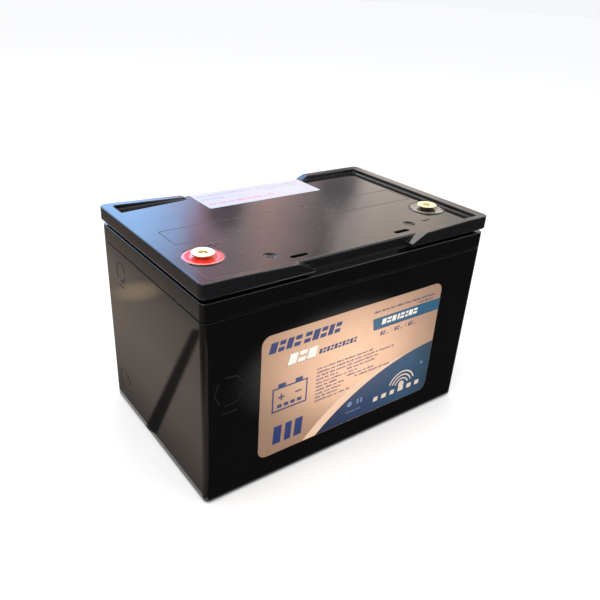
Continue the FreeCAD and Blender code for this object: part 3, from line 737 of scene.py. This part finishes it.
CAMERA_PLACE = (-0.3056, -0.3997, 0.3575)
CAMERA_AIM = (-0.0032, 0.0007, 0.1089)
CAMERA_ROLL = 3.17          # degrees
LIGHT_TARGET = (0, 0, 0.1)
FLOOR_HALF = 12
FLOOR_GAP = 0.0002          # floor below the base
BEHIND_X = (-0.6, 2.6)      # cards behind the battery
BEHIND_Y = 1.02
CARD_Z = 0.001              # cards that lie on the floor
OVER_CARD_Z = 0.002         # and those on top of them

# Soft dark band across the left end, as a strip of card from the near corner outward
BAND_LEFT = ((-0.1405, 0.006), (-0.1355, 0.024), (-0.2500, 0.154), (-0.2590, 0.142))
LABEL_GLOW = ((-0.10, -0.106), (0.115, -0.106), (0.32, -0.285), (0.0, -0.285))

# Along each card: position, colour, opacity
SKY_STOPS = (
    (0.0, (0.34, 0.57, 0.98), 1), (0.27, (0.34, 0.57, 0.98), 1), (0.30, (0.31, 0.43, 0.70), 1),
    (0.33, (0.28, 0.17, 0.22), 1), (0.36, (0.21, 0.17, 0.18), 1), (0.39, (0.32, 0.21, 0.20), 1),
    (0.42, (0.23, 0.17, 0.17), 1), (0.453, (0.12, 0.10, 0.10), 1), (0.485, (0.28, 0.24, 0.23), 1),
    (0.52, (0.35, 0.30, 0.27), 1), (0.60, (0.33, 0.28, 0.24), 1), (0.66, (0.22, 0.20, 0.18), 1),
    (1.0, (0.22, 0.20, 0.18), 1))
BRANCH_STOPS = (
    (0.0, (0.08, 0.07, 0.08), 0.9), (0.5, (0.10, 0.09, 0.10), 0.8), (1.0, (0.2, 0.2, 0.2), 0))
WARM_STOPS = ((0.0, (1, 0.93, 0.82), 1), (1.0, (1, 0.95, 0.88), 1))
HORIZON_STOPS = (
    (0.0, (0.25, 0.24, 0.22), 1), (0.4, (0.7, 0.68, 0.62), 1), (1.0, (0.9, 0.9, 0.88), 1))
GROUND_LEFT_STOPS = (
    (0.0, (0.20, 0.17, 0.15), 1), (0.88, (0.22, 0.18, 0.16), 1), (0.915, (0.42, 0.35, 0.30), 1),
    (0.93, (0.58, 0.48, 0.41), 1), (0.965, (0.62, 0.51, 0.44), 1), (0.985, (0.46, 0.38, 0.33), 1),
    (1.0, (0.22, 0.19, 0.17), 1))
BAND_STOPS = (
    (0.0, (0.03, 0.03, 0.03), 0), (0.2, (0.03, 0.03, 0.03), 0.95),
    (0.8, (0.03, 0.03, 0.03), 0.95), (1.0, (0.03, 0.03, 0.03), 0))
GLOW_LEFT_STOPS = ((0.0, (1, 0.72, 0.45), 1), (0.5, (0.9, 0.7, 0.5), 0.8), (1.0, (0.5, 0.4, 0.3), 0))
GROUND_FRONT_STOPS = ((0.0, (0.034, 0.032, 0.031), 1), (1.0, (0.026, 0.025, 0.025), 1))
FLAG_STOPS = ((0.0, (0.06, 0.05, 0.045), 1), (1.0, (0.10, 0.09, 0.085), 1))
LABEL_GLOW_STOPS = (
    (0.0, (1, 0.96, 0.92), 1), (0.6, (0.75, 0.72, 0.68), 0.85), (1.0, (0.2, 0.2, 0.2), 0.0))


def reflector(name, corners, stops, strength, spread="across", wander=0.02):
    """Card that shows only in reflections. Stops are (position, colour, opacity)."""
    mesh = bpy.data.meshes.new(name)
    mesh.from_pydata([Vector(c) for c in corners], [], [(0, 1, 2, 3)])
    mesh.uv_layers.new().data.foreach_set("uv", (0, 0, 1, 0, 1, 1, 0, 1))
    look = Look(name, (0.5, 0.5, 0.5), 0.5)
    uv = look.tree.nodes["Texture Coordinate"].outputs["UV"]
    if spread == "round":
        centred = look.node("ShaderNodeVectorMath", {0: uv, 1: (0.5, 0.5, 0)},
                            operation="DISTANCE")
        place = look.math("MULTIPLY", centred.outputs["Value"], 2.0)
    else:
        axis = "X" if spread == "across" else "Y"
        place = look.node("ShaderNodeSeparateXYZ", {0: uv}).outputs[axis]
    place = look.math("ADD", place, look.between(look.noise(160, 4, 0.8), -wander, wander))
    color = look.ramp(place, [(position, shade) for position, shade, _ in stops])
    cover = look.ramp(place, [(position, (opacity,) * 3) for position, _, opacity in stops])
    light = look.node("ShaderNodeEmission", {"Color": color, "Strength": strength}).outputs[0]
    clear = look.node("ShaderNodeBsdfTransparent").outputs[0]
    mixed = look.node("ShaderNodeMixShader", {0: cover, 1: clear, 2: light}).outputs[0]
    look.tree.links.new(mixed, look.tree.nodes["Material Output"].inputs["Surface"])
    look.tree.nodes.remove(look.shader)
    mesh.materials.append(look.material)
    card = bpy.data.objects.new(name, mesh)
    bpy.context.scene.collection.objects.link(card)
    card.visible_camera = False
    card.visible_diffuse = False
    card.visible_shadow = False
    card.visible_transmission = False


def upright(x, y, z):
    """Corners of an upright card facing along Y."""
    return ((x[0], y, z[0]), (x[1], y, z[0]), (x[1], y, z[1]), (x[0], y, z[1]))


def level(x, y, z):
    """Corners of a card that lies flat."""
    return ((x[0], y[0], z), (x[1], y[0], z), (x[1], y[1], z), (x[0], y[1], z))


def area_light(name, place, size, power, color):
    """Soft rectangular light aimed at the battery."""
    light = bpy.data.lights.new(name, "AREA")
    light.shape = "RECTANGLE"
    light.size, light.size_y = size
    light.energy = power
    light.color = color
    lamp = bpy.data.objects.new(name, light)
    lamp.location = place
    lamp.rotation_euler = (Vector(LIGHT_TARGET) - Vector(place)).to_track_quat("-Z", "Y").to_euler()
    lamp.visible_camera = False
    bpy.context.scene.collection.objects.link(lamp)


def build_surroundings():
    """Pale floor, even world light and three soft lights."""
    floor_look = Look("studio_floor", (0.86, 0.86, 0.86), 0.85)
    floor_look.set("Specular IOR Level", 0.1)
    floor_look.set("Emission Color", (1, 1, 1, 1))
    floor_look.set("Emission Strength", 0.15)
    mesh = bpy.data.meshes.new("studio_floor")
    corners = level((-FLOOR_HALF, FLOOR_HALF), (-FLOOR_HALF, FLOOR_HALF), CAD_LOW.z - FLOOR_GAP)
    mesh.from_pydata(corners, [], [(0, 1, 2, 3)])
    mesh.materials.append(floor_look.material)
    floor = bpy.data.objects.new("studio_floor", mesh)
    bpy.context.scene.collection.objects.link(floor)

    world = bpy.data.worlds.new("studio")
    world.use_nodes = True
    background = world.node_tree.nodes["Background"]
    background.inputs["Color"].default_value = (0.97, 0.98, 1.0, 1)
    background.inputs["Strength"].default_value = 0.95
    bpy.context.scene.world = world

    area_light("key", (-0.9, -0.35, 1.5), (1.2, 1.2), 12, (1, 0.96, 0.9))
    area_light("fill", (0.9, -1.1, 0.9), (1.0, 1.0), 4, (1, 0.93, 0.87))
    area_light("top", (0.1, 0.5, 1.9), (2.2, 1.2), 6, (0.95, 0.97, 1.0))


def build_cards():
    """Broad colours for the gloss to reflect: behind, beside and in front of the battery."""
    reflector("sky_card", upright(BEHIND_X, 1.0, (0.36, 0.98)), SKY_STOPS, 5.0)
    for name, x in (("branch_card_left", (0.43, 0.60)), ("branch_card_right", (0.80, 1.02))):
        reflector(name, upright(x, 0.99, (0.44, 0.66)), BRANCH_STOPS, 3.0, "round", 0.2)
    reflector("warm_card", upright(BEHIND_X, BEHIND_Y, (0.98, 1.7)), WARM_STOPS, 4.0, "along")
    reflector("horizon_card", upright(BEHIND_X, BEHIND_Y, (0.0, 0.36)), HORIZON_STOPS, 2.2, "along")
    reflector("ground_card_left", level((-1.6, -0.14), (-0.3, 1.6), CARD_Z), GROUND_LEFT_STOPS, 1.0,
              wander=0.006)
    reflector("band_left", [(*corner, OVER_CARD_Z) for corner in BAND_LEFT], BAND_STOPS, 1.0,
              wander=0.05)
    reflector("glow_left", level((-0.275, -0.20), (0.235, 0.305), OVER_CARD_Z), GLOW_LEFT_STOPS, 1.2,
              "round", 0.3)
    reflector("ground_card_front", level((-0.6, 1.4), (-1.4, -0.088), CARD_Z), GROUND_FRONT_STOPS, 1.0)
    reflector("front_flag", upright((-1.4, 1.8), -1.4, (0.0, 1.2)), FLAG_STOPS, 1.0, "along")
    reflector("label_glow", [(*corner, OVER_CARD_Z) for corner in LABEL_GLOW], LABEL_GLOW_STOPS, 2.3,
              "round", 0.05)


def build_camera():
    """Camera at the front left, above the object and slightly rolled."""
    camera = bpy.data.cameras.new("camera")
    camera.lens = 37.8
    camera.shift_x = 0.0163
    camera.shift_y = -0.0115
    camera.clip_start = 0.01
    holder = bpy.data.objects.new("camera", camera)
    holder.location = CAMERA_PLACE
    aim = Vector(CAMERA_AIM) - holder.location
    roll = Euler((0, 0, math.radians(CAMERA_ROLL))).to_quaternion()
    holder.rotation_mode = "QUATERNION"
    holder.rotation_quaternion = aim.to_track_quat("-Z", "Y") @ roll
    bpy.context.scene.collection.objects.link(holder)
    bpy.context.scene.camera = holder


# ---------------------------------------------------------------- looks and assembly

label_low, label_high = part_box("front_label")
LOOKS = {
    "case": moulded_plastic("black_case", (0.0022, 0.0021, 0.0021), (0.0036, 0.0034, 0.0034), 0.055),
    "cover": moulded_plastic("black_cover", (0.005, 0.005, 0.006), (0.009, 0.009, 0.010), 0.05, dust=0.8,
                             edge_mm=0.9),
    "vent_plate": moulded_plastic("black_vent_plate", (0.005, 0.005, 0.006), (0.009, 0.009, 0.010), 0.06,
                                  dust=0.8),
    "plug": moulded_plastic("black_plug", (0.002, 0.002, 0.002), (0.004, 0.004, 0.004), 0.03, edge_mm=0.2,
                            ior=1.28),
    "mark": moulded_plastic("black_mark", (0.003, 0.003, 0.003), (0.005, 0.005, 0.005), 0.35),
    "bead": moulded_plastic("black_bead", (0.004, 0.004, 0.004), (0.008, 0.008, 0.008), 0.3),
    "red_resin": resin("red_resin", (0.72, 0.018, 0.012), (0.85, 0.05, 0.03), 0.35),
    "black_resin": resin("black_resin", (0.010, 0.010, 0.011), (0.03, 0.03, 0.032), 0.0),
    "brass_positive": turned_metal("brass_positive", (0.96, 0.80, 0.56), (0.85, 0.62, 0.34), 0.34,
                                   "terminal_positive"),
    "brass_negative": turned_metal("brass_negative", (0.95, 0.74, 0.44), (0.80, 0.54, 0.27), 0.30,
                                   "terminal_negative"),
    "lead": grained("lead", (0.10, 0.105, 0.115), (0.42, 0.43, 0.45), 0.5, 1.4, 0.05, Metallic=1.0),
    "positive_paste": grained("positive_paste", (0.05, 0.02, 0.012), (0.16, 0.07, 0.045), 0.9, 0.7, 0.08),
    "negative_paste": grained("negative_paste", (0.12, 0.12, 0.13), (0.34, 0.35, 0.37), 0.85, 0.7, 0.08),
    "mat": grained("glass_mat", (0.62, 0.62, 0.58), (0.92, 0.92, 0.9), 0.95, 0.5, 0.06),
    "rubber": grained("black_rubber", (0.012, 0.012, 0.012), (0.03, 0.03, 0.03), 0.75, 0.6, 0.02),
    # The front label's ramp is lighter at its middle stops than at its ends: a painted sheen highlight
    # over the peach film.
    "film": label_film("label_film", ((0.0, (0.68, 0.43, 0.29)), (0.45, (0.88, 0.56, 0.38)),
                                      (0.75, (0.90, 0.57, 0.39)), (1.0, (0.72, 0.47, 0.34))),
                       label_low.x, label_high.x, 0.34, 0.6),
    "paper": label_film("white_label", ((0.0, (0.50, 0.54, 0.72)), (1.0, (0.60, 0.61, 0.70))),
                        -0.06, 0.06, 0.3),
    "field": label_film("blue_field", ((0.0, (0.018, 0.03, 0.075)), (0.45, (0.022, 0.05, 0.12)),
                                       (0.8, (0.03, 0.085, 0.16)), (1.0, (0.028, 0.06, 0.10))),
                        label_low.x + 0.05, label_high.x, 0.3),
    "sweep": ink("sweep_ink", (0.80, 0.54, 0.38), (0.76, 0.5, 0.34), 0.34),
    "navy": ink("navy_ink", (0.022, 0.04, 0.15), (0.05, 0.06, 0.18)),
    "violet": ink("violet_ink", (0.07, 0.05, 0.14), (0.16, 0.10, 0.18)),
    "band": ink("band_ink", (0.02, 0.105, 0.19), (0.03, 0.13, 0.23)),
    "white": ink("white_ink", (0.84, 0.78, 0.70), (0.8, 0.68, 0.58)),
    "cream": ink("cream_ink", (0.72, 0.58, 0.48), (0.6, 0.47, 0.4)),
    "brown": ink("brown_ink", (0.16, 0.12, 0.14), (0.3, 0.2, 0.18)),
    "faint": ink("faint_ink", (0.17, 0.22, 0.42), (0.14, 0.2, 0.4)),
    "slate": ink("slate_ink", (0.23, 0.25, 0.42), (0.5, 0.5, 0.62)),
    "red": ink("red_ink", (0.72, 0.12, 0.12), (0.9, 0.45, 0.42)),
}

dress_frame()
front_label_print()
top_label_print()
case_marks()
for pole in ("positive", "negative"):
    resin_pool(pole)
    terminal_thread(pole)
recess_seals()
weld_bead()
build_surroundings()
build_cards()
build_camera()
bpy.context.scene.view_settings.view_transform = "Standard"
